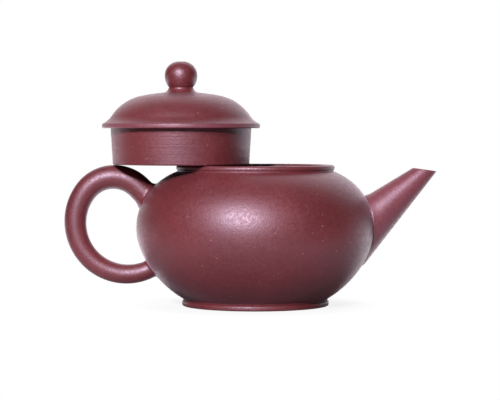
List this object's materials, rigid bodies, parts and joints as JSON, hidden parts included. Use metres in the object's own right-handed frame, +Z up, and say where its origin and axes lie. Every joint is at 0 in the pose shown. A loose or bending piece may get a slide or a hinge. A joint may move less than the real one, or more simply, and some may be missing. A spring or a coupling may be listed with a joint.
{
  "type": "clay teapot",
  "caption": "Small round unglazed clay teapot with a straight tapered spout, an ear-shaped handle and a loose domed lid with a ball knob, shown drawn back onto the handle.",
  "frame": {"origin": "centre of the foot ring's standing face, on the axis of the pot", "axes": "+Z up along the axis of the pot, +X towards the spout, -X towards the handle"},
  "size_m": [0.1304, 0.0832, 0.0853],
  "materials": {
    "purple_clay": "unglazed, burnished satin, with fine pale grains"
  },
  "bodies": {
    "pot": {"belly_wall": "purple_clay", "shoulder_disc": "purple_clay", "base_disc": "purple_clay", "foot_ring": "purple_clay", "mouth_ring": "purple_clay", "spout": "purple_clay", "strainer_dome": "purple_clay", "handle": "purple_clay"},
    "lid": {"lid_plate": "purple_clay", "lid_dome": "purple_clay", "lid_flange": "purple_clay", "knob": "purple_clay"}
  },
  "joints": [
    {"name": "lid_lift", "type": "slide", "parent": "pot", "child": "lid", "axis": [0, 0, 1], "range_m": [0, 0.06]}
  ]
}
